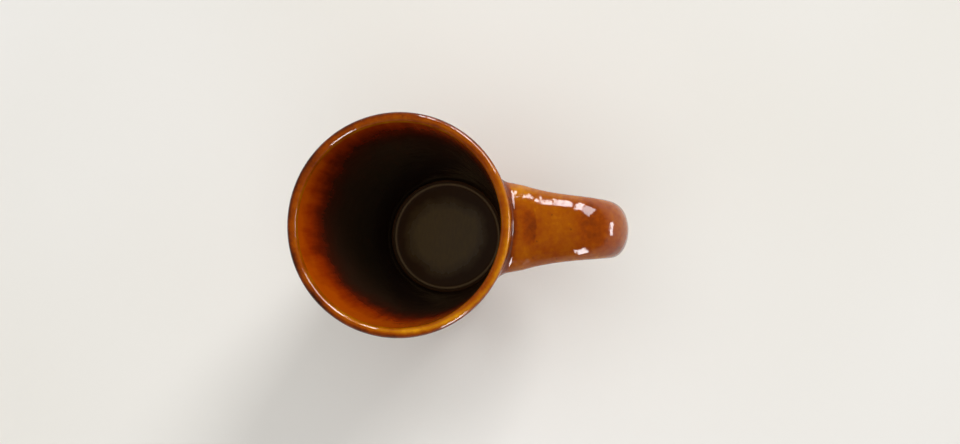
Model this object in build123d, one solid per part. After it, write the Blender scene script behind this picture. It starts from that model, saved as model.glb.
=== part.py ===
from build123d import *
import math
import os

# A stoneware mug with a strap handle and a glaze coat inside and out, in millimetres.
# It stands on z = 0 round the z axis, and its handle points along +X.

# Cup, over the glaze unless it says clay
HEIGHT = 101.0
RIM_DIAMETER = 82.0
KNEE_DIAMETER = 67.0  # where the straight wall starts to curve in
KNEE_HEIGHT = 26.0
WALL = 2.8  # clay
FLOOR = 4.5  # clay
GLAZE = 0.4  # thickness of either coat

# Foot, all bare clay
FOOT_DIAMETER = 56.0
FOOT_WIDTH = 4.5
FOOT_HEIGHT = 2.6
FOOT_BEVEL = 0.5
FOOT_FLARE = 1.4  # how far the cup stands out past the foot, and over what height
BELLY_LEAN = 1.0  # how far the belly leans out between the foot's flare and the cove
GLAZE_LINE = 4.4  # the outside coat is wiped off below this height

# Floor inside: the raised ring that the forming tool leaves, and the cove between it and the wall
RING_WIDTH = 1.6
RING_RISE = 0.5
COVE_RADIUS = 1.6
COVE_TURN = 76.0  # degrees from the floor up to where the wall starts

# Lip: the outside coat wraps it and meets the liner just below
LIP_ROUNDING = 0.47  # radius of both edges, as a share of the wall: nearly a full round
LINER_DROP = 2.2

# Handle, over the glaze
HANDLE_DROP = 6.5  # lip to the top of the upper root
HANDLE_REACH = 84.0  # mug's axis to the outermost point
UPPER_BEND = 15.0  # centreline radius of the top bend
LOWER_TURN = 75.0  # degrees from the outermost point to the run into the lower root
LOWER_ROOT_RISE = 9.0  # knee to the centre of the lower root, which sits on the straight wall
STRAP_CROWN = 6.8  # centreline to the outer face
STRAP_BELLY = 4.4  # centreline to the inner face
GRIP_WIDTH = 23.0
TAIL_WIDTH = 17.6  # the same strap, if it had no flare, at its lower root
UPPER_FLARE = 12.0  # added width at the upper root
LOWER_FLARE = 6.0
UPPER_FLARE_LENGTH = 15.0  # the flare dies away over about this length
LOWER_FLARE_LENGTH = 9.0
LUTING_RADIUS = 2.5  # fillet of slip clay in both joints

STRAP_STATIONS = 22
ROOT_DEPTH = 9.0  # how far the strap is drawn on inside the wall before it is cut to it

FLOOR_TOP = FOOT_HEIGHT + FLOOR
CLAY_TOP = HEIGHT - GLAZE
CLAY_RIM = RIM_DIAMETER / 2 - GLAZE
CLAY_KNEE = KNEE_DIAMETER / 2 - GLAZE
TAPER = (CLAY_RIM - CLAY_KNEE) / (CLAY_TOP - KNEE_HEIGHT)


def outer_line():
    """The outside of the clay from under the foot to the top edge, as (radius, height)."""
    foot = FOOT_DIAMETER / 2
    bevel = Line((foot - FOOT_BEVEL, 0), (foot, FOOT_BEVEL))
    side = Line((foot, FOOT_BEVEL), (foot, FOOT_HEIGHT))
    flare = Line((foot, FOOT_HEIGHT), (foot + FOOT_FLARE, FOOT_HEIGHT + FOOT_FLARE))
    belly = TangentArc((CLAY_KNEE, KNEE_HEIGHT), flare @ 1, tangent=(-TAPER, -1))
    wall = Line((CLAY_KNEE, KNEE_HEIGHT), (CLAY_RIM, CLAY_TOP))
    return [bevel, side, flare, belly, wall]


def underside_line():
    """The recess under the floor, from the axis to the foot's outer bevel."""
    foot = FOOT_DIAMETER / 2
    inside = foot - FOOT_WIDTH
    ceiling = Line((0, FOOT_HEIGHT), (inside - FOOT_HEIGHT, FOOT_HEIGHT))
    slope = Line((inside - FOOT_HEIGHT, FOOT_HEIGHT), (inside, 0))
    sole = Line((inside, 0), (foot - FOOT_BEVEL, 0))
    return [ceiling, slope, sole]


def inner_line():
    """The inside of the clay from the axis over the tool ring and up the wall to the top edge."""
    turn = math.radians(COVE_TURN)
    far = FOOT_DIAMETER / 2 + FOOT_FLARE + BELLY_LEAN - WALL - COVE_RADIUS * math.sin(turn)
    near, crest = far - RING_WIDTH, far - RING_WIDTH / 2
    cup_floor = Line((0, FLOOR_TOP), (near, FLOOR_TOP))
    ridge = ThreePointArc((near, FLOOR_TOP), (crest, FLOOR_TOP + RING_RISE), (far, FLOOR_TOP))
    cove = JernArc((far, FLOOR_TOP), (1, 0), COVE_RADIUS, COVE_TURN)
    knee = (CLAY_KNEE - WALL, KNEE_HEIGHT)
    belly = TangentArc(knee, cove @ 1, tangent=(-TAPER, -1))
    wall = Line(knee, (CLAY_RIM - WALL, CLAY_TOP))
    return [cup_floor, ridge, cove, belly, wall]


def clay_section():
    """Half of the cup's cross-section, with both edges of its lip rounded."""
    axis = Line((0, FOOT_HEIGHT), (0, FLOOR_TOP))
    brim = Line((CLAY_RIM - WALL, CLAY_TOP), (CLAY_RIM, CLAY_TOP))
    section = make_face(outer_line() + underside_line() + inner_line() + [axis, brim])
    return fillet(section.vertices().group_by(Axis.Y)[-1], LIP_ROUNDING * WALL)


def blank_section():
    """The same outline with the inside filled, to cut the handle to."""
    axis = Line((0, FOOT_HEIGHT), (0, CLAY_TOP))
    top = Line((0, CLAY_TOP), (CLAY_RIM, CLAY_TOP))
    return make_face(outer_line() + underside_line() + [axis, top])


def turned(section):
    """A (radius, height) section turned round the mug's axis."""
    return revolve(Plane.XZ * section, Axis.Z)


def above(section, low, high):
    """The part of a section between two heights."""
    reach = RIM_DIAMETER
    band = Pos(reach / 2, (low + high) / 2) * Rectangle(reach, high - low)
    return section & band


def handle_path():
    """The strap's centreline in the xz plane, from inside the wall to inside the lower wall."""
    top = HEIGHT - HANDLE_DROP - STRAP_CROWN
    out = HANDLE_REACH - STRAP_CROWN
    root = CLAY_RIM - TAPER * (CLAY_TOP - top)
    slope = math.radians(90 - LOWER_TURN)
    turn = math.radians(LOWER_TURN)
    fall = top - UPPER_BEND - KNEE_HEIGHT - LOWER_ROOT_RISE - math.tan(slope) * (out - CLAY_KNEE)
    lower_bend = fall / (math.sin(turn) - (1 - math.cos(turn)) * math.tan(slope))
    run = Line((root - ROOT_DEPTH, top), (out - UPPER_BEND, top))
    upper = JernArc(run @ 1, run % 1, UPPER_BEND, -90)
    lower = JernArc(upper @ 1, upper % 1, lower_bend, -LOWER_TURN)
    last = ((lower @ 1).X - CLAY_KNEE + ROOT_DEPTH) / math.cos(slope)
    tail = Line(lower @ 1, (lower @ 1) + (lower % 1) * last)
    return Plane.XZ * Wire([run, upper, lower, tail])


def strap_width(start, end):
    """Width of the strap from its distances to the upper and the lower root."""
    share = start / (start + end)
    plain = GRIP_WIDTH + (TAIL_WIDTH - GRIP_WIDTH) * share
    upper = UPPER_FLARE * math.exp(-max(start, 0) / UPPER_FLARE_LENGTH)
    lower = LOWER_FLARE * math.exp(-max(end, 0) / LOWER_FLARE_LENGTH)
    return plain + upper + lower


def strap(skin):
    """The strap, ends drawn on inside the wall. skin is how far its faces lie inside the glazed ones."""
    path = handle_path()
    sections = []
    for i in range(STRAP_STATIONS):
        t = i / (STRAP_STATIONS - 1)
        start = t * path.length - ROOT_DEPTH
        half = strap_width(start, path.length - 2 * ROOT_DEPTH - start) / 2 - skin
        plane = Plane(origin=path @ t, x_dir=(0, 1, 0), z_dir=path % t)
        outer = EllipticalCenterArc((0, 0), half, STRAP_CROWN - skin, 0, arc_size=180)
        inner = EllipticalCenterArc((0, 0), half, STRAP_BELLY - skin, 180, arc_size=180)
        sections.append(plane * make_face([outer, inner]))
    return loft(sections)


def with_luting(blank, bar, radius):
    """The blank with the strap on it and a fillet in both joints."""
    joined = blank + bar
    return fillet(new_edges(blank, bar, combined=joined), radius)


os.makedirs("parts", exist_ok=True)

seam = HEIGHT - LINER_DROP
cup_section = clay_section()
coat_section = offset(cup_section, GLAZE) - cup_section
lip_coat = above(coat_section, seam, HEIGHT)
wall_coats = above(coat_section, GLAZE_LINE, seam)
liner = wall_coats.faces().sort_by(lambda face: face.bounding_box().min.X)[0]

clay_blank = turned(blank_section())
clay_strap = strap(GLAZE)
clay_whole = with_luting(clay_blank, clay_strap, LUTING_RADIUS)
glazed_blank = turned(above(offset(blank_section(), GLAZE), GLAZE_LINE, seam))
glazed_whole = with_luting(glazed_blank, strap(0), LUTING_RADIUS - GLAZE)
luting = (clay_whole - clay_blank - clay_strap).solids().sort_by(Axis.Z)

pieces = {
    "cup_body": turned(cup_section),
    "handle": clay_strap - clay_blank,
    "lower_luting": luting[0],
    "upper_luting": luting[-1],
    "inside_glaze": turned(liner),
    "outside_glaze": glazed_whole - clay_whole + turned(lip_coat),
}

for name, piece in pieces.items():
    export_step(piece, f"parts/{name}.step")
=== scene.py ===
import math

import bmesh
import bpy
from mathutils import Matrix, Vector


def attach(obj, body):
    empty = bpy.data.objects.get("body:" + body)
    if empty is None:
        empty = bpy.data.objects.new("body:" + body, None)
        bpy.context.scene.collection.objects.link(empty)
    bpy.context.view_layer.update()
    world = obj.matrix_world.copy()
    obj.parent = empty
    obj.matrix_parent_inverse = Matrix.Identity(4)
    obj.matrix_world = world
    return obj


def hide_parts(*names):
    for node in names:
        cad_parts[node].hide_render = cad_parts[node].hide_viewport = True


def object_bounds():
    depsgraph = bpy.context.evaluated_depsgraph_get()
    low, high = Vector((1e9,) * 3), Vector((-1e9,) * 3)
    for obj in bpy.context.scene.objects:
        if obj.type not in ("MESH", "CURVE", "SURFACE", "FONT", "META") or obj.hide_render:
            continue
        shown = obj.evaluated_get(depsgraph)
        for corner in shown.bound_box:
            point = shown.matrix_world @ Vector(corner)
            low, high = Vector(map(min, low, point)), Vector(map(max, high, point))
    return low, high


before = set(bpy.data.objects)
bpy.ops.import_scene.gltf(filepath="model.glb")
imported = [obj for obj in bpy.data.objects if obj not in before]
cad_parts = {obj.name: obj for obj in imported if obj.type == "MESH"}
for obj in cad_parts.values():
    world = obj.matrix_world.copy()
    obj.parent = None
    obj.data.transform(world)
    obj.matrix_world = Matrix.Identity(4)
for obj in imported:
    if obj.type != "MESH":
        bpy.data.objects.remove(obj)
cad_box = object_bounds()

# A stoneware mug: honey glaze outside and over the lip, dark liner glaze inside, bare clay foot.
# Sizes are in millimetres, and MM turns them to metres.
MM = 0.001
HEIGHT = cad_box[1].z / MM
RIM_RADIUS = 41.0  # where the wall's line meets the lip's height, over the glaze
KNEE_RADIUS = 33.5
KNEE_HEIGHT = 26.0
TAPER = (RIM_RADIUS - KNEE_RADIUS) / (HEIGHT - KNEE_HEIGHT)
LEAN = math.atan(TAPER)
WALL = 3.6  # clay and both coats
GLAZE = 0.4
CLAY_SKIN = GLAZE + 0.05  # how far the clay lies inside the glaze, a hair more than the coat
LIP_RADIUS = 1.72
LINER_DROP = 2.2  # lip to the line where the outside coat meets the liner
GLAZE_LINE = 4.4  # the outside coat is wiped off below this height

FOOT_RADIUS = 28.0
FOOT_WIDTH = 4.5
FOOT_HEIGHT = 2.6
FLOOR_HEIGHT = 7.5  # over the liner
RING_RADIUS = 25.25  # raised ring on the floor inside
RING_RISE = 0.5
RING_SPREAD = 0.66
COVE_RADIUS = 1.2

STRAP_TOP = 87.7  # centreline of the upper root
STRAP_CROWN, STRAP_BELLY = 6.8, 4.4  # centreline to the outer and the inner face
STRAP_OUT = cad_box[1].x / MM - STRAP_CROWN
UPPER_BEND = 15.0
LOWER_TURN = 75.0
LOWER_ROOT = KNEE_HEIGHT + 9.0
GRIP_WIDTH, TAIL_WIDTH = 23.0, 17.6
UPPER_FLARE, LOWER_FLARE = 12.0, 6.0
UPPER_FLARE_LENGTH, LOWER_FLARE_LENGTH = 15.0, 9.0
UPPER_LUTING, LOWER_LUTING = 2.6, 3.3  # how far the fillet in each root reaches from its corner
LUTING_ROOM = 1.0  # how much further the skin spreads over the wall
UPPER_CLEAR, LOWER_CLEAR = 4.5, 6.0  # from each root to the nearest ring of the strap's own faces

TURN_STEPS = 192  # faces round the cup
LIP_STEPS, COVE_STEPS = 10, 7  # faces over each half of the lip, and over the cove
BELLY_STEPS = 12
OUTER_WALL_STEPS, INNER_WALL_STEPS = 18, 20
STRAP_STEPS = 72  # faces round the strap
STRAP_RINGS = 64
LUTING_STEPS = 8
STRAP_MARKS = 120  # places down the strap's centreline at which it is measured
SAME_PLACE = 0.002  # doubles closer than this are merged
SOFT_EDGE = math.radians(40)  # shaded smooth across any edge that turns less


# ---------------------------------------------------------------- outlines of the cup

def wall_radius(z):
    """Outside of the glazed wall at a height on its straight part."""
    return RIM_RADIUS - TAPER * (HEIGHT - z)


def straight(start, end, steps):
    """Points between two ends, without either."""
    return [tuple(Vector(start).lerp(Vector(end), i / steps)) for i in range(1, steps)]


def round_points(centre, radius, first, last, steps):
    """Points of an arc between two angles in degrees, with both ends."""
    angles = [math.radians(first + (last - first) * i / steps) for i in range(steps + 1)]
    return [(centre[0] + radius * math.cos(a), centre[1] + radius * math.sin(a)) for a in angles]


def belly_points(knee, foot, steps):
    """The arc from the straight wall's lower end down to the foot, with its lower end only."""
    down = Vector((-TAPER, -1)).normalized()
    inward = Vector((down.y, -down.x))
    span = Vector(foot) - Vector(knee)
    radius = span.length_squared / (2 * span.dot(inward))
    turn = 2 * math.asin(span.length / (2 * abs(radius)))
    points = []
    for i in range(1, steps + 1):
        share = turn * i / steps
        along = down * abs(radius) * math.sin(share)
        points.append(tuple(Vector(knee) + along + inward * radius * (1 - math.cos(share))))
    return points


def outside_outline():
    """(radius, height) from the glaze line up the outside and over the lip to the liner's edge."""
    knee = (KNEE_RADIUS, KNEE_HEIGHT)
    lean = math.degrees(LEAN)
    lip_height = HEIGHT - LIP_RADIUS
    outer = (wall_radius(lip_height) - LIP_RADIUS / math.cos(LEAN), lip_height)
    inner = (wall_radius(lip_height) - WALL + LIP_RADIUS / math.cos(LEAN), lip_height)
    lip = round_points(outer, LIP_RADIUS, -lean, 90, LIP_STEPS)
    lip += round_points(inner, LIP_RADIUS, 90, 180 - lean, LIP_STEPS)
    seam = HEIGHT - LINER_DROP
    belly = belly_points(knee, (FOOT_RADIUS + 1.9, GLAZE_LINE), BELLY_STEPS)[::-1]
    rolled_edge = [(FOOT_RADIUS + 1.62, GLAZE_LINE - 0.02), (FOOT_RADIUS + 1.84, GLAZE_LINE + 0.14)]
    wall = straight(knee, lip[0], OUTER_WALL_STEPS)
    return rolled_edge + belly[1:] + [knee] + wall + lip + [(wall_radius(seam) - WALL, seam)]


def inside_outline():
    """(radius, height) from the liner's edge down the wall, over the cove and the ring to the middle."""
    seam = HEIGHT - LINER_DROP
    top = (wall_radius(seam) - WALL, seam)
    knee = (KNEE_RADIUS - WALL, KNEE_HEIGHT)
    far = RING_RADIUS + 0.8
    cove = round_points((far, FLOOR_HEIGHT + COVE_RADIUS), COVE_RADIUS, -14, -84, COVE_STEPS)
    belly = belly_points(knee, cove[0], BELLY_STEPS)[:-1]
    over_ring = [far - 0.16 * i for i in range(17)]
    to_middle = [22.9, 22.0, 19.0, 15.5, 12.0, 8.5, 5.0, 2.0, 0.0]
    floor = []
    for radius in over_ring + to_middle:
        rise = RING_RISE * math.exp(-((radius - RING_RADIUS) / RING_SPREAD) ** 2)
        floor.append((radius, FLOOR_HEIGHT + rise))
    return [top] + straight(top, knee, INNER_WALL_STEPS) + [knee] + belly + cove + floor


def clay_outline():
    """(radius, height) of the clay under both coats, from the recess out round the foot, up, over and in."""
    inner_foot = FOOT_RADIUS - FOOT_WIDTH
    slope_top = inner_foot - FOOT_HEIGHT  # the recess's side rises at 45 degrees
    recess = [(0.0, FOOT_HEIGHT), (8.0, FOOT_HEIGHT), (15.0, FOOT_HEIGHT), (slope_top - 0.6, FOOT_HEIGHT)]
    recess += [(slope_top + 0.25, FOOT_HEIGHT - 0.18), (inner_foot - 0.45, 0.5), (inner_foot - 0.1, 0.14)]
    sole = [(inner_foot + 0.3, 0.0), (FOOT_RADIUS - 0.65, 0.0), (FOOT_RADIUS - 0.22, 0.17)]
    side = [(FOOT_RADIUS, 0.6), (FOOT_RADIUS, FOOT_HEIGHT - 0.25), (FOOT_RADIUS + 0.16, FOOT_HEIGHT + 0.18)]
    side += [(FOOT_RADIUS + 1.3, FOOT_HEIGHT + 1.3), (FOOT_RADIUS + 1.5, GLAZE_LINE + 0.1)]
    knee = (KNEE_RADIUS - CLAY_SKIN, KNEE_HEIGHT)
    belly = belly_points(knee, (FOOT_RADIUS + 1.5, GLAZE_LINE + 0.4), BELLY_STEPS // 2)[::-1]
    top = HEIGHT - CLAY_SKIN
    shoulder = top - 1.3
    brim = [(wall_radius(shoulder) - CLAY_SKIN, shoulder), (wall_radius(top) - CLAY_SKIN - 0.5, top - 0.3)]
    brim += [(wall_radius(top) - WALL / 2, top), (wall_radius(top) - WALL + CLAY_SKIN + 0.5, top - 0.3)]
    brim += [(wall_radius(shoulder) - WALL + CLAY_SKIN, shoulder)]
    inside = (KNEE_RADIUS - WALL + CLAY_SKIN, KNEE_HEIGHT)
    floor = [(27.6, FLOOR_HEIGHT + 0.9), (26.4, FLOOR_HEIGHT - CLAY_SKIN), (0.0, FLOOR_HEIGHT - CLAY_SKIN)]
    return recess + sole + side + belly[1:] + [knee] + brim + [inside] + floor


# ---------------------------------------------------------------- modelling

def modified(piece, kind, **settings):
    """Adds a modifier and applies it."""
    made = piece.modifiers.new(kind.title(), kind)
    for name, value in settings.items():
        setattr(made, name, value)
    bpy.ops.object.modifier_apply(modifier=made.name)


def pick(piece, wanted):
    """Selects the vertices in edit mode for which wanted(place in mm) holds."""
    mesh = bmesh.from_edit_mesh(piece.data)
    mesh.select_mode = {"VERT"}
    for vertex in mesh.verts:
        vertex.select_set(bool(wanted(vertex.co / MM)))
    mesh.select_flush_mode()
    bmesh.update_edit_mesh(piece.data)


def turned(name, outline, inwards=False):
    """A surface of revolution: the outline is drawn point by point, then spun round the mug's axis."""
    bpy.ops.object.select_all(action="DESELECT")
    bpy.ops.mesh.primitive_plane_add(size=MM)
    piece = bpy.context.active_object
    piece.name = piece.data.name = name
    bpy.ops.object.mode_set(mode="EDIT")
    bpy.ops.mesh.select_all(action="SELECT")
    bpy.ops.mesh.merge(type="CENTER")
    bpy.ops.transform.translate(value=(outline[0][0] * MM, 0, outline[0][1] * MM))
    for here, there in zip(outline, outline[1:]):
        step = ((there[0] - here[0]) * MM, 0, (there[1] - here[1]) * MM)
        bpy.ops.mesh.extrude_region_move(TRANSFORM_OT_translate={"value": step})
    bpy.ops.mesh.select_all(action="SELECT")
    bpy.ops.mesh.spin(steps=TURN_STEPS, angle=math.tau, center=(0, 0, 0), axis=(0, 0, 1))
    bpy.ops.mesh.select_all(action="SELECT")
    bpy.ops.mesh.remove_doubles(threshold=SAME_PLACE * MM)
    bpy.ops.mesh.normals_make_consistent(inside=inwards)
    bpy.ops.object.mode_set(mode="OBJECT")
    return piece


def coated(piece):
    """Gives a glaze surface its thickness on the clay's side, and a smooth shade."""
    bpy.ops.object.select_all(action="DESELECT")
    piece.select_set(True)
    bpy.context.view_layer.objects.active = piece
    modified(piece, "SOLIDIFY", thickness=0.9 * GLAZE * MM, offset=-1, use_even_offset=True)
    bpy.ops.object.shade_smooth_by_angle(angle=SOFT_EDGE)


# ---------------------------------------------------------------- strap handle

def strap_place(s):
    """Centre (x, z) of the strap and its heading in degrees below +X, at a distance down its centreline."""
    root = wall_radius(STRAP_TOP)
    slope, turn = math.radians(90 - LOWER_TURN), math.radians(LOWER_TURN)
    run = STRAP_OUT - UPPER_BEND - root
    knee = KNEE_RADIUS - GLAZE
    fall = STRAP_TOP - UPPER_BEND - LOWER_ROOT - math.tan(slope) * (STRAP_OUT - knee)
    lower_bend = fall / (math.sin(turn) - (1 - math.cos(turn)) * math.tan(slope))
    height = STRAP_TOP - UPPER_BEND
    if s <= run:
        return (root + s, STRAP_TOP), 0.0
    s -= run
    if s <= UPPER_BEND * math.pi / 2:
        a = s / UPPER_BEND
        return (root + run + UPPER_BEND * math.sin(a), height + UPPER_BEND * math.cos(a)), math.degrees(a)
    s -= UPPER_BEND * math.pi / 2
    if s <= lower_bend * turn:
        a = s / lower_bend
        place = (STRAP_OUT - lower_bend * (1 - math.cos(a)), height - lower_bend * math.sin(a))
        return place, 90 + math.degrees(a)
    s -= lower_bend * turn
    start = (STRAP_OUT - lower_bend * (1 - math.cos(turn)), height - lower_bend * math.sin(turn))
    return (start[0] - s * math.cos(slope), start[1] - s * math.sin(slope)), 90 + LOWER_TURN


def strap_length():
    """Distance down the centreline from the upper root to where it meets the wall again."""
    s, step = 60.0, 0.02  # the search starts on the lower bend
    while True:
        x, z = strap_place(s)[0]
        if x <= wall_radius(z):
            return s
        s += step


STRAP_LENGTH = strap_length()
STRAP_LINE = [strap_place(STRAP_LENGTH * i / STRAP_MARKS)[0] for i in range(STRAP_MARKS + 1)]


def strap_half(s):
    """Half the strap's width at a distance from the upper root."""
    plain = GRIP_WIDTH + (TAIL_WIDTH - GRIP_WIDTH) * s / STRAP_LENGTH
    upper = UPPER_FLARE * math.exp(-max(s, 0) / UPPER_FLARE_LENGTH)
    lower = LOWER_FLARE * math.exp(-max(STRAP_LENGTH - s, 0) / LOWER_FLARE_LENGTH)
    return (plain + upper + lower) / 2


def strap_skin(name):
    """The handle's coat: a ring drawn down the strap's centreline, its ends spread over the wall."""
    ringed = STRAP_LENGTH - UPPER_CLEAR - LOWER_CLEAR
    inner = [UPPER_CLEAR + ringed * i / STRAP_RINGS for i in range(STRAP_RINGS + 1)]
    (x, z), heading = strap_place(0)
    half = strap_half(0)
    root = (x * MM, 0, z * MM)
    bpy.ops.object.select_all(action="DESELECT")
    bpy.ops.mesh.primitive_circle_add(
        vertices=STRAP_STEPS, radius=MM, location=root, rotation=(0, math.pi / 2, 0))
    bpy.ops.object.transform_apply()
    piece = bpy.context.active_object
    piece.name = piece.data.name = name
    bpy.ops.object.mode_set(mode="EDIT")
    bpy.ops.mesh.select_all(action="SELECT")
    bpy.ops.transform.resize(value=(1, half, STRAP_BELLY), center_override=root)
    pick(piece, lambda place: place.z > z + 0.001)
    bpy.ops.transform.resize(value=(1, 1, STRAP_CROWN / STRAP_BELLY), center_override=root)
    bpy.ops.mesh.select_all(action="SELECT")
    for s in inner + [STRAP_LENGTH]:
        (next_x, next_z), next_heading = strap_place(s)
        place = (next_x * MM, 0, next_z * MM)
        step = ((next_x - x) * MM, 0, (next_z - z) * MM)
        bpy.ops.mesh.extrude_region_move(TRANSFORM_OT_translate={"value": step})
        turn = math.radians(next_heading - heading)
        bpy.ops.transform.rotate(value=-turn, orient_axis="Y", center_override=place)
        wider = strap_half(s) / half
        bpy.ops.transform.resize(value=(1, wider, 1), center_override=place)
        x, z, heading, half = next_x, next_z, next_heading, strap_half(s)
    spread_root(piece, 0, UPPER_LUTING)
    spread_root(piece, STRAP_LENGTH, LOWER_LUTING)
    bpy.ops.mesh.select_all(action="SELECT")
    bpy.ops.mesh.region_to_loop()
    set_on_wall(piece, depth=0.1)
    bpy.ops.mesh.select_all(action="SELECT")
    bpy.ops.mesh.normals_make_consistent(inside=False)
    bpy.ops.object.mode_set(mode="OBJECT")
    return piece


def set_on_wall(piece, depth=0.0):
    """Slides the selected vertices along x on to the wall, or a little under it."""
    mesh = bmesh.from_edit_mesh(piece.data)
    for vertex in mesh.verts:
        if vertex.select:
            radius = (wall_radius(vertex.co.z / MM) - depth) * MM
            vertex.co.x = math.sqrt(radius ** 2 - vertex.co.y ** 2)
    bmesh.update_edit_mesh(piece.data)


def spread_root(piece, s, luting):
    """Fits one open end of the strap to the wall, spreads a skirt round it and rounds the corner between."""
    spread = luting + LUTING_ROOM
    (x, z), heading = strap_place(s)
    centre = Vector((x, 0, z))
    ahead = Vector((math.cos(math.radians(heading)), 0, -math.sin(math.radians(heading))))
    half = strap_half(s)
    off_plane, reach = 0.01, 25  # how near the end's plane and its centre all of the end's vertices are

    def on_end(place):
        return abs((place - centre).dot(ahead)) < off_plane and (place - centre).length < reach

    pick(piece, on_end)
    set_on_wall(piece)
    mesh = bmesh.from_edit_mesh(piece.data)
    corner = {tuple(round(c / MM, 3) for c in vertex.co) for vertex in mesh.verts if vertex.select}
    bpy.ops.mesh.extrude_region_move()
    wide = (half + spread) / half
    bpy.ops.transform.resize(value=(1, wide, 1), center_override=centre * MM)
    mesh = bmesh.from_edit_mesh(piece.data)
    for vertex in mesh.verts:
        if vertex.select:
            rise = vertex.co.z / MM - z
            share = min(1.0, abs(rise) / STRAP_BELLY)
            vertex.co.z += math.copysign(spread * share, rise) * MM
    bmesh.update_edit_mesh(piece.data)
    set_on_wall(piece)
    pick(piece, lambda place: tuple(round(c, 3) for c in place) in corner)
    bpy.ops.mesh.bevel(offset=luting * MM, segments=LUTING_STEPS, affect="EDGES", clamp_overlap=False)
    near_wall = 0.08
    pick(piece, lambda place: abs(math.hypot(place.x, place.y) - wall_radius(place.z)) < near_wall)
    set_on_wall(piece)


# ---------------------------------------------------------------- where each coat lies thick and thin, with painted light and shade

EVEN_COAT = 0.5  # 0 is worn thin and 1 is pooled
LIP_SHADING = 9.0  # how far below the lip its lighter and darker bands die away; these are partly painted light and shade

# Places on the strap where the coat ran thin, and a spot darkened as a painted dark reflection
THIN_SPOT, THIN_PATCH = Vector((41.3, 13.5, 91)), Vector((47.5, 11.5, 92))
DARK_REFLECTION_SPOT = Vector((74, -6, 90))


def hump(distance, width):
    """1 at no distance, falling to nothing beyond about twice the width."""
    return math.exp(-(distance / width) ** 2)


def ramp(value, low, high):
    """0 at low, 1 at high, eased between."""
    share = min(1.0, max(0.0, (value - low) / (high - low)))
    return share * share * (3 - 2 * share)


def lip_change(place):
    """What the lip adds to an even coat. A lighter band runs on its inner shoulder and crosses to the outer
    shoulder next to the handle; the lip is darker outside and on the side away from the handle. The band is
    partly the coat breaking thin and partly painted light, and the dark is partly the coat lying thick and
    partly painted shade, both following the windows towards +X."""
    middle = wall_radius(HEIGHT - LIP_RADIUS) - WALL / 2
    off_middle = (math.hypot(place.x, place.y) - middle) / (WALL / 2)
    across = math.degrees(math.acos(max(-1.0, min(1.0, off_middle))))  # 0 outside, 180 inside
    around = math.atan2(place.y, place.x)
    by_handle = (0.5 + 0.5 * math.cos(around)) ** 3
    far_side_shade = (0.5 - 0.5 * math.cos(around)) ** 2
    front = 0.5 + 0.5 * math.cos(around + math.radians(55))
    thin_line = 132 - 95 * by_handle
    thin_width = 8 + 22 * front + 12 * by_handle
    # Partly the coat breaking thin, partly painted light: the band keeps to the side of the lip that faces
    # the windows
    thin = (0.06 + 0.3 * front) * hump(across - thin_line, thin_width)
    # Partly the coat lying thick, partly painted shade: darker outside and on the far side, turned from the
    # windows
    outer = 0.2 * ramp(105 - 75 * by_handle - across, 0, 50)
    seam = 0.25 * ramp(across, 135, 170)
    return outer + 0.15 * far_side_shade + 0.03 - thin - seam


def coat_on_cup(place):
    """The honey coat hangs in a thick roll at its lower edge, drains thin above it and varies on the lip,
    where painted light and shade are added too.
    """
    above_edge = place.z - GLAZE_LINE
    depth = EVEN_COAT + 0.35 * hump(above_edge - 0.6, 1.1) - 0.08 * hump(above_edge - 4, 2.5)
    if place.z > HEIGHT - LIP_SHADING:
        depth += lip_change(place) * ramp(place.z, HEIGHT - LIP_SHADING, HEIGHT - 2)
    return depth


def coat_on_strap(place):
    """The honey coat thins along the strap's edges and pools in both lutings, and a painted dark reflection
    darkens one spot on the bend.
    """
    def off_centreline(i):
        return math.hypot(place.x - STRAP_LINE[i][0], place.z - STRAP_LINE[i][1])

    nearest = min(range(STRAP_MARKS + 1), key=off_centreline)
    side = abs(place.y) / strap_half(STRAP_LENGTH * nearest / STRAP_MARKS)
    off_wall = math.hypot(place.x, place.y) - wall_radius(place.z)
    depth = EVEN_COAT - 0.13 * ramp(side, 0.72, 1.0) + 0.32 * hump(off_wall - 0.9, 1.3)
    depth -= 0.3 * hump((place - THIN_SPOT).length, 3.6)
    depth -= 0.06 * hump((place - THIN_PATCH).length, 6)
    # Painted dark reflection on the bend, drawn as a thicker coat
    depth += 0.09 * hump((place - DARK_REFLECTION_SPOT).length, 10)
    return depth


def lay_coat(piece, depth_at):
    """Stores how thick the coat lies at each vertex, from 0 (worn thin) to 1 (pooled), with painted light and
    shade on the lip and the strap folded in.
    """
    depths = [min(1.0, max(0.0, depth_at(vertex.co / MM))) for vertex in piece.data.vertices]
    piece.data.attributes.new("coat_depth_and_shading", "FLOAT", "POINT").data.foreach_set("value", depths)


# ---------------------------------------------------------------- finishes

# Sockets that share a name or have none: Map Range's four limits, and Mix's colours and their result
FROM_LOW, FROM_HIGH, TO_LOW, TO_HIGH = 1, 2, 3, 4
FIRST, SECOND, MIXED = 6, 7, 2
NOISE_SPAN = {FROM_LOW: 0.3, FROM_HIGH: 0.7}  # nearly all of a noise lies between these


def spots(size):
    """The scale at which a pattern's spots are about this many millimetres across."""
    return 1 / (size * MM)


def colour(code):
    """sRGB hex to the linear colour that a shader takes."""
    parts = [int(code[i:i + 2], 16) / 255 for i in (1, 3, 5)]
    return tuple(c / 12.92 if c <= 0.04045 else ((c + 0.055) / 1.055) ** 2.4 for c in parts) + (1.0,)


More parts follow.
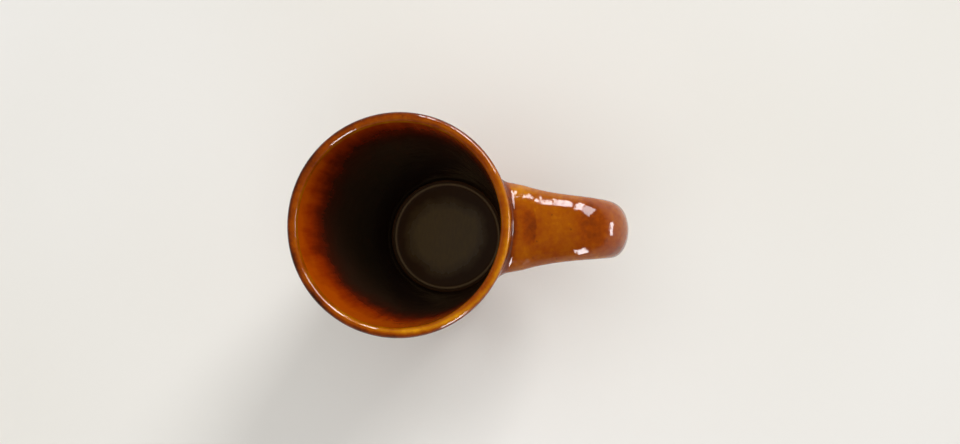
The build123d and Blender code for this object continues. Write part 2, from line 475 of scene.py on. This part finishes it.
def add(tree, kind, inputs={}, stops=(), **settings):
    """Adds a node. inputs gives a socket its value or what feeds it, and stops are a ramp's places and
    colours."""
    made = tree.nodes.new("ShaderNode" + kind)
    for name, value in settings.items():
        setattr(made, name, value)
    for name, value in inputs.items():
        if isinstance(value, bpy.types.NodeSocket):
            tree.links.new(value, made.inputs[name])
        else:
            made.inputs[name].default_value = value
    if stops:
        elements = made.color_ramp.elements
        while len(elements) < len(stops):
            elements.new(0.5)
        for element, (place, shade) in zip(elements, stops):
            element.position = place
            element.color = colour(shade)
    return made


def finish_named(name, look):
    """A new material, its tree with the shader and output in place, and the object coordinates."""
    material = bpy.data.materials.new(name)
    material.use_nodes = True
    material.diffuse_color = colour(look)
    tree = material.node_tree
    tree.nodes.clear()
    shader = add(tree, "BsdfPrincipled")
    add(tree, "OutputMaterial", {"Surface": shader.outputs["BSDF"]})
    return material, tree, shader, add(tree, "TexCoord").outputs["Object"]


def honey_glaze():
    """Iron-bearing feldspar glaze, dipped and fired at about 1250 C to a hard wet gloss. It is a clear honey
    over pale clay: gold where it runs thin off an edge, red-brown where it pools, with fine iron specks."""
    material, tree, shader, place = finish_named("honey_glaze", "#964802")
    axes = add(tree, "SeparateXYZ", {"Vector": place})

    # The coat wanders in clouds, in runs down the wall and in a fine mottle
    cloud = add(tree, "TexNoise", {"Vector": place, "Scale": spots(16.667), "Detail": 3.0, "Roughness": 0.5})
    downwards = add(tree, "Mapping", {"Vector": place, "Scale": (spots(5.8824), spots(5.8824), spots(62.5))})
    runs = add(tree, "TexNoise", {
        "Vector": downwards.outputs[0], "Scale": 1.0, "Detail": 3.0, "Roughness": 0.55})
    mottle = add(tree, "TexNoise", {"Vector": place, "Scale": spots(1.9231), "Detail": 4.0, "Roughness": 0.6})
    depth = add(tree, "Attribute", attribute_name="coat_depth_and_shading").outputs["Fac"]
    for pattern, most in ((cloud, 0.12), (runs, 0.07), (mottle, 0.07)):
        limits = NOISE_SPAN | {TO_LOW: -most, TO_HIGH: most}
        change = add(tree, "MapRange", {"Value": pattern.outputs["Fac"]} | limits).outputs[0]
        depth = add(tree, "Math", {0: depth, 1: change}, operation="ADD").outputs[0]

    # The shallow dent beside the upper root has soft sides, in millimetres from clear of it to inside it.
    # Its outer end bows. It is darker inside: partly the coat lying thicker, partly a painted dark reflection
    # of the rim
    bowed = add(tree, "Math", {0: axes.outputs["Y"], 1: axes.outputs["Y"]}, operation="MULTIPLY").outputs[0]
    end = add(tree, "Math", {0: bowed, 1: 25.0, 2: axes.outputs["X"]}, operation="MULTIPLY_ADD").outputs[0]
    off_middle = add(tree, "Math", {0: axes.outputs["Y"]}, operation="ABSOLUTE").outputs[0]
    sides = []
    for measure, clear, inside in (
        (axes.outputs["Z"], 90.5, 93.5), (end, 49.9, 49.2),
        (axes.outputs["X"], 42.5, 47.5), (off_middle, 8.5, 4.0),
    ):
        limits = {"Value": measure, FROM_LOW: clear * MM, FROM_HIGH: inside * MM}
        sides.append(add(tree, "MapRange", limits, interpolation_type="SMOOTHSTEP").outputs[0])
    dent = sides[0]
    for side in sides[1:]:
        dent = add(tree, "Math", {0: dent, 1: side}, operation="MULTIPLY").outputs[0]
    # Painted shade: the dent's darker colour stands partly for the rim's dark reflection
    depth = add(tree, "Math", {0: dent, 1: 0.13, 2: depth}, operation="MULTIPLY_ADD").outputs[0]
    body = add(tree, "ValToRGB", {"Fac": depth}, stops=(
        (0.0, "#E0A018"), (0.2, "#BE7606"), (0.42, "#9E5000"),
        (0.6, "#8A3A00"), (0.8, "#5E2404"), (1.0, "#2C0F05"),
    )).outputs["Color"]

    # Iron specks. Real ones are a few tenths of a millimetre across, and these are drawn as coarse as they
    # need to show
    cells = add(tree, "TexVoronoi", {"Vector": place, "Scale": spots(2.381), "Randomness": 1.0})
    core = add(tree, "MapRange", {
        "Value": cells.outputs["Distance"], FROM_LOW: 0.1, FROM_HIGH: 0.2, TO_LOW: 1.0, TO_HIGH: 0.0})
    scatter = add(tree, "TexNoise", {"Vector": place, "Scale": spots(3.8462), "Detail": 1.0})
    few = add(tree, "MapRange", {
        "Value": scatter.outputs["Fac"], FROM_LOW: 0.58, FROM_HIGH: 0.64, TO_LOW: 0.0, TO_HIGH: 0.45})
    speck = add(tree, "Math", {0: core.outputs[0], 1: few.outputs[0]}, operation="MULTIPLY").outputs[0]
    spotted = add(tree, "Mix", {0: speck, FIRST: body, SECOND: colour("#3A1705")}, data_type="RGBA")
    tree.links.new(spotted.outputs[MIXED], shader.inputs["Base Color"])

    # A wet gloss, whose reflections break on the waves of a hand-finished surface, finer ripples and the dent
    gloss = add(tree, "MapRange", {
        "Value": mottle.outputs["Fac"]} | NOISE_SPAN | {TO_LOW: 0.05, TO_HIGH: 0.11})
    tree.links.new(gloss.outputs[0], shader.inputs["Roughness"])
    shader.inputs["IOR"].default_value = 1.46
    shader.inputs["Specular IOR Level"].default_value = 0.4
    waves = add(tree, "TexNoise", {"Vector": place, "Scale": spots(7.6923), "Detail": 1.5})
    ripples = add(tree, "TexNoise", {"Vector": place, "Scale": spots(3.0303), "Detail": 1.0})
    waved = add(tree, "Bump", {"Height": waves.outputs["Fac"], "Strength": 0.4, "Distance": 0.6 * MM})
    rippled = add(tree, "Bump", {
        "Height": ripples.outputs["Fac"], "Strength": 0.3, "Distance": 0.3 * MM, "Normal": waved.outputs[0]})
    dented = add(tree, "Bump", {
        "Height": dent, "Strength": 0.5, "Distance": 0.2 * MM, "Normal": rippled.outputs[0]}, invert=True)
    peel = add(tree, "Bump", {
        "Height": mottle.outputs["Fac"], "Strength": 0.06, "Distance": 0.3 * MM, "Normal": dented.outputs[0]})
    tree.links.new(peel.outputs[0], shader.inputs["Normal"])
    return material


def dark_liner():
    """Brown-black slip glaze poured inside and out again. The honey dip reaches over the lip and melts
    into it, amber down the first centimetre, then dark. The amber reaches deeper towards -Y than towards
    +Y, which is painted light and shade. Spoons have dulled the middle of the floor."""
    material, tree, shader, place = finish_named("dark_liner", "#1A0E08")
    axes = add(tree, "SeparateXYZ", {"Vector": place})
    flat = add(tree, "CombineXYZ", {"X": axes.outputs["X"], "Y": axes.outputs["Y"]})
    radius = add(tree, "VectorMath", {0: flat.outputs[0]}, operation="LENGTH").outputs["Value"]

    # The honey's reach down the wall, uneven in clouds and ragged in runs, and tilted as painted light and
    # shade
    cloud = add(tree, "TexNoise", {"Vector": place, "Scale": spots(18.182), "Detail": 4.0, "Roughness": 0.6})
    downwards = add(tree, "Mapping", {
        "Vector": place, "Scale": (spots(3.8462), spots(3.8462), spots(45.455))})
    runs = add(tree, "TexNoise", {
        "Vector": downwards.outputs[0], "Scale": 1.0, "Detail": 3.0, "Roughness": 0.6})
    fall = add(tree, "MapRange", {"Value": axes.outputs["Z"], FROM_LOW: 100 * MM, FROM_HIGH: 40 * MM})
    across = {FROM_LOW: 35 * MM, FROM_HIGH: -35 * MM, TO_LOW: 0.05, TO_HIGH: -0.13}
    # Painted light and shade: the amber reaches deeper towards -Y, as if lit there, and less far towards +Y
    painted_light_tilt = add(tree, "MapRange", {"Value": axes.outputs["Y"]} | across, clamp=False)
    reach = add(tree, "Math", {0: fall.outputs[0], 1: painted_light_tilt.outputs[0]}, operation="ADD").outputs[0]
    for pattern, most in ((cloud, 0.07), (runs, 0.05)):
        limits = NOISE_SPAN | {TO_LOW: -most, TO_HIGH: most}
        change = add(tree, "MapRange", {"Value": pattern.outputs["Fac"]} | limits).outputs[0]
        reach = add(tree, "Math", {0: reach, 1: change}, operation="ADD").outputs[0]
    wall = add(tree, "ValToRGB", {"Fac": reach}, stops=(
        (0.0, "#BE5002"), (0.12, "#A03402"), (0.24, "#6C1D04"),
        (0.36, "#3C150A"), (0.55, "#2E1B12"), (1.0, "#120C08"),
    )).outputs["Color"]

    # The floor: browner than the wall, with a worn disc in the middle whose edge is ragged
    low = add(tree, "MapRange", {
        "Value": axes.outputs["Z"], FROM_LOW: 9 * MM, FROM_HIGH: 8.1 * MM}).outputs[0]
    ragged = add(tree, "MapRange", {
        "Value": cloud.outputs["Fac"]} | NOISE_SPAN | {TO_LOW: -2.2 * MM, TO_HIGH: 2.2 * MM})
    worn_edge = add(tree, "Math", {0: radius, 1: ragged.outputs[0]}, operation="ADD")
    disc = add(tree, "MapRange", {"Value": worn_edge.outputs[0], FROM_LOW: 21.2 * MM, FROM_HIGH: 14 * MM})
    worn = add(tree, "Math", {0: disc.outputs[0], 1: low}, operation="MULTIPLY")
    one_way = add(tree, "Mapping", {
        "Vector": place, "Scale": (spots(1.1111), spots(4.1667), spots(4.1667)), "Rotation": (0.0, 0.0, 0.7)})
    scratches = add(tree, "TexNoise", {
        "Vector": one_way.outputs[0], "Scale": 1.0, "Detail": 5.0, "Roughness": 0.7})
    uneven = add(tree, "MapRange", {
        "Value": scratches.outputs["Fac"]} | NOISE_SPAN | {TO_LOW: 0.7, TO_HIGH: 1.0})
    rubbed = add(tree, "Math", {0: worn.outputs[0], 1: uneven.outputs[0]}, operation="MULTIPLY").outputs[0]
    browner = add(tree, "Mix", {0: low, FIRST: wall, SECOND: colour("#3A2410")}, data_type="RGBA")
    floor = add(tree, "Mix", {
        0: rubbed, FIRST: browner.outputs[MIXED], SECOND: colour("#685022")}, data_type="RGBA")

    # The tool ring's crest, lighter: partly the glaze running thin over it, partly a painted highlight
    off_ring = add(tree, "Math", {0: radius, 1: RING_RADIUS * MM}, operation="SUBTRACT")
    beside = add(tree, "Math", {0: off_ring.outputs[0]}, operation="ABSOLUTE")
    thin_crest_and_highlight = add(tree, "MapRange", {
        "Value": beside.outputs[0], FROM_LOW: 0.8 * MM, FROM_HIGH: 0.2 * MM, TO_LOW: 0.0, TO_HIGH: 0.8})
    ring = add(tree, "Math", {0: thin_crest_and_highlight.outputs[0], 1: low}, operation="MULTIPLY").outputs[0]
    base = add(tree, "Mix", {
        0: ring, FIRST: floor.outputs[MIXED], SECOND: colour("#7A6344")}, data_type="RGBA")
    tree.links.new(base.outputs[MIXED], shader.inputs["Base Color"])

    # Glossy on the wall, matt where spoons rub
    gloss = add(tree, "MapRange", {"Value": rubbed, TO_LOW: 0.12, TO_HIGH: 0.5})
    tree.links.new(gloss.outputs[0], shader.inputs["Roughness"])
    shader.inputs["IOR"].default_value = 1.5
    shader.inputs["Specular IOR Level"].default_value = 0.3
    waves = add(tree, "TexNoise", {"Vector": place, "Scale": spots(9.0909), "Detail": 2.0})
    waved = add(tree, "Bump", {"Height": waves.outputs["Fac"], "Strength": 0.3, "Distance": 0.8 * MM})
    mottle = add(tree, "TexNoise", {"Vector": place, "Scale": spots(1.6667), "Detail": 4.0, "Roughness": 0.6})
    peel = add(tree, "Bump", {
        "Height": mottle.outputs["Fac"], "Strength": 0.1, "Distance": 0.3 * MM, "Normal": waved.outputs[0]})
    tree.links.new(peel.outputs[0], shader.inputs["Normal"])
    return material


def bare_stoneware():
    """Vitrified grey-buff stoneware clay, turned, wiped free of glaze and set down on the kiln shelf. It is
    matt and finely gritty, with iron specks, and toasted orange in a band next to the glaze."""
    material, tree, shader, place = finish_named("bare_stoneware", "#B7A38A")
    axes = add(tree, "SeparateXYZ", {"Vector": place})

    # Grit is a few tenths of a millimetre across, and drawn twice as coarse so that it shows
    grain = add(tree, "TexNoise", {"Vector": place, "Scale": spots(0.71429), "Detail": 5.0, "Roughness": 0.7})
    clay = add(tree, "ValToRGB", {"Fac": grain.outputs["Fac"]}, stops=(
        (0.3, "#A08C72"), (0.5, "#B7A38A"), (0.7, "#C9B9A2")))

    # The toasted band starts at an uneven line between 2.6 and 4.2 mm up
    cloud = add(tree, "TexNoise", {"Vector": place, "Scale": spots(14.286), "Detail": 3.0})
    line = add(tree, "MapRange", {
        "Value": cloud.outputs["Fac"]} | NOISE_SPAN | {TO_LOW: 2.6 * MM, TO_HIGH: 4.2 * MM})
    past_line = add(tree, "Math", {0: axes.outputs["Z"], 1: line.outputs[0]}, operation="SUBTRACT")
    toast = add(tree, "MapRange", {
        "Value": past_line.outputs[0], FROM_LOW: -1.2 * MM, FROM_HIGH: 0.8 * MM, TO_LOW: 0.0, TO_HIGH: 0.75})
    toasted = add(tree, "Mix", {
        0: toast.outputs[0], FIRST: clay.outputs["Color"], SECOND: colour("#8F5A30")}, data_type="RGBA")

    # Iron specks, and the sole darkened by use
    cells = add(tree, "TexVoronoi", {"Vector": place, "Scale": spots(2.0833)})
    speck = add(tree, "MapRange", {
        "Value": cells.outputs["Distance"], FROM_LOW: 0.08, FROM_HIGH: 0.16, TO_LOW: 0.8, TO_HIGH: 0.0})
    spotted = add(tree, "Mix", {
        0: speck.outputs[0], FIRST: toasted.outputs[MIXED], SECOND: colour("#4A3424")}, data_type="RGBA")
    sole = add(tree, "MapRange", {
        "Value": axes.outputs["Z"], FROM_LOW: 0.0, FROM_HIGH: 0.4 * MM, TO_LOW: 0.45, TO_HIGH: 0.0})
    used = add(tree, "Mix", {
        0: sole.outputs[0], FIRST: spotted.outputs[MIXED], SECOND: colour("#7D6D5A")}, data_type="RGBA")
    tree.links.new(used.outputs[MIXED], shader.inputs["Base Color"])

    dull = add(tree, "MapRange", {"Value": grain.outputs["Fac"]} | NOISE_SPAN | {TO_LOW: 0.7, TO_HIGH: 0.9})
    tree.links.new(dull.outputs[0], shader.inputs["Roughness"])
    grit = add(tree, "Bump", {"Height": grain.outputs["Fac"], "Strength": 0.35, "Distance": 0.2 * MM})
    tree.links.new(grit.outputs[0], shader.inputs["Normal"])
    return material


def painted_table():
    """Table top in warm white satin paint, for the stage only: brushed, with slight uneven tone."""
    material, tree, shader, place = finish_named("painted_table", "#E4E0D5")
    tone = add(tree, "TexNoise", {"Vector": place, "Scale": spots(333.33), "Detail": 2.0})
    white = add(tree, "ValToRGB", {"Fac": tone.outputs["Fac"]}, stops=((0.3, "#E7E4DA"), (0.7, "#ECEAE3")))
    tree.links.new(white.outputs["Color"], shader.inputs["Base Color"])
    shader.inputs["Roughness"].default_value = 0.7
    shader.inputs["Specular IOR Level"].default_value = 0.2
    return material


# ---------------------------------------------------------------- the mug

honey, liner, clay, paint = honey_glaze(), dark_liner(), bare_stoneware(), painted_table()

cup = turned("cup_clay", clay_outline())
bpy.ops.object.shade_smooth_by_angle(angle=SOFT_EDGE)
outside = turned("honey_coat", outside_outline())
coated(outside)
lay_coat(outside, coat_on_cup)
inside = turned("liner_coat", inside_outline(), inwards=True)
coated(inside)
skin = strap_skin("handle_coat")
coated(skin)
lay_coat(skin, coat_on_strap)

for piece, finish, slot, nodes in (
    (cup, clay, "bare_stoneware", ["cup_body"]),
    (outside, honey, "honey_glaze", ["outside_glaze"]),
    (skin, honey, "honey_glaze", ["outside_glaze"]),
    (inside, liner, "liner_glaze", ["inside_glaze"]),
):
    piece.data.materials.append(finish)
    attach(piece, "root")
    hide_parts(*nodes)
for name in ("handle", "upper_luting", "lower_luting"):
    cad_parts[name].data.materials.clear()
    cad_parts[name].data.materials.append(clay)


# ---------------------------------------------------------------- stage, light and camera

LAMP_DISTANCE = 8  # metres
LAMP_AIM = Vector((0, 0, 90)) * MM
DAYLIGHT = "#FBFBFF"

bpy.ops.object.select_all(action="DESELECT")
bpy.ops.mesh.primitive_plane_add(size=4)
table = bpy.context.active_object
table.name = table.data.name = "table_top"
table.data.materials.append(paint)


def window(name, azimuth, elevation, width, height, strength, shade=DAYLIGHT):
    """A soft window: a far lamp turned to the mug. Azimuth is from +X towards +Y, and strength is how bright
    the pane itself looks."""
    a, e = math.radians(azimuth), math.radians(elevation)
    away = Vector((math.cos(a) * math.cos(e), math.sin(a) * math.cos(e), math.sin(e)))
    bpy.ops.object.light_add(type="AREA", location=LAMP_AIM + LAMP_DISTANCE * away)
    lamp = bpy.context.active_object
    lamp.name = lamp.data.name = name
    lamp.rotation_mode = "QUATERNION"
    lamp.rotation_quaternion = away.to_track_quat("Z", "Y")
    lamp.data.shape = "RECTANGLE"
    lamp.data.size, lamp.data.size_y = width, height
    lamp.data.energy = strength * math.pi * width * height
    lamp.data.color = colour(shade)[:3]
    lamp.visible_camera = False
    return lamp


window("window_back", 52, 32, 2.5, 3.2, 15)
# Panes that only show as glints on the glaze, and light nothing
for pane in (
    window("pane_back", 71, 30, 1.7, 4.1, 26),
    window("pane_far_back", 91, 27, 1.2, 3.4, 26),
    window("pane_front", -69, 23, 2.3, 3.3, 26),
    window("pane_right", 2, 2.8, 3.0, 1.0, 20),
):
    pane.visible_diffuse = False
# The white ceiling's light, which the glaze doesn't mirror
window("ceiling", 0, 90, 12, 12, 1.5, "#FCFCFF").visible_glossy = False

# Pale walls at the horizon, dim above, as in a room whose light comes from its windows and ceiling
world = bpy.data.worlds.new("room")
bpy.context.scene.world = world
world.use_nodes = True
tree = world.node_tree
tree.nodes.clear()
direction = add(tree, "TexCoord").outputs["Generated"]
up = add(tree, "SeparateXYZ", {"Vector": direction}).outputs["Z"]
walls = add(tree, "ValToRGB", {"Fac": up}, stops=(
    (0.0, "#E9E6DE"), (0.1, "#E9E6DE"), (0.3, "#6A6865"), (1.0, "#4A4947")))
room = add(tree, "Background", {"Color": walls.outputs["Color"], "Strength": 1.0})
add(tree, "OutputWorld", {"Surface": room.outputs[0]})

# The camera looks almost straight down from above the handle, its top edge towards +Y
CAMERA_PLACE = Vector((68.1, -14.8, 355.7)) * MM
CAMERA_TILT = [math.radians(angle) for angle in (1.52, 3.52, 0.74)]
bpy.ops.object.camera_add(location=CAMERA_PLACE, rotation=CAMERA_TILT)
camera = bpy.context.active_object
camera.data.sensor_width = 36.0
camera.data.lens = 27.11
camera.data.shift_x, camera.data.shift_y = -0.0652, 0.0282  # the mug stands left of the middle
camera.data.clip_start, camera.data.clip_end = 0.01, 20.0
bpy.context.scene.camera = camera
bpy.context.scene.view_settings.view_transform = "Standard"
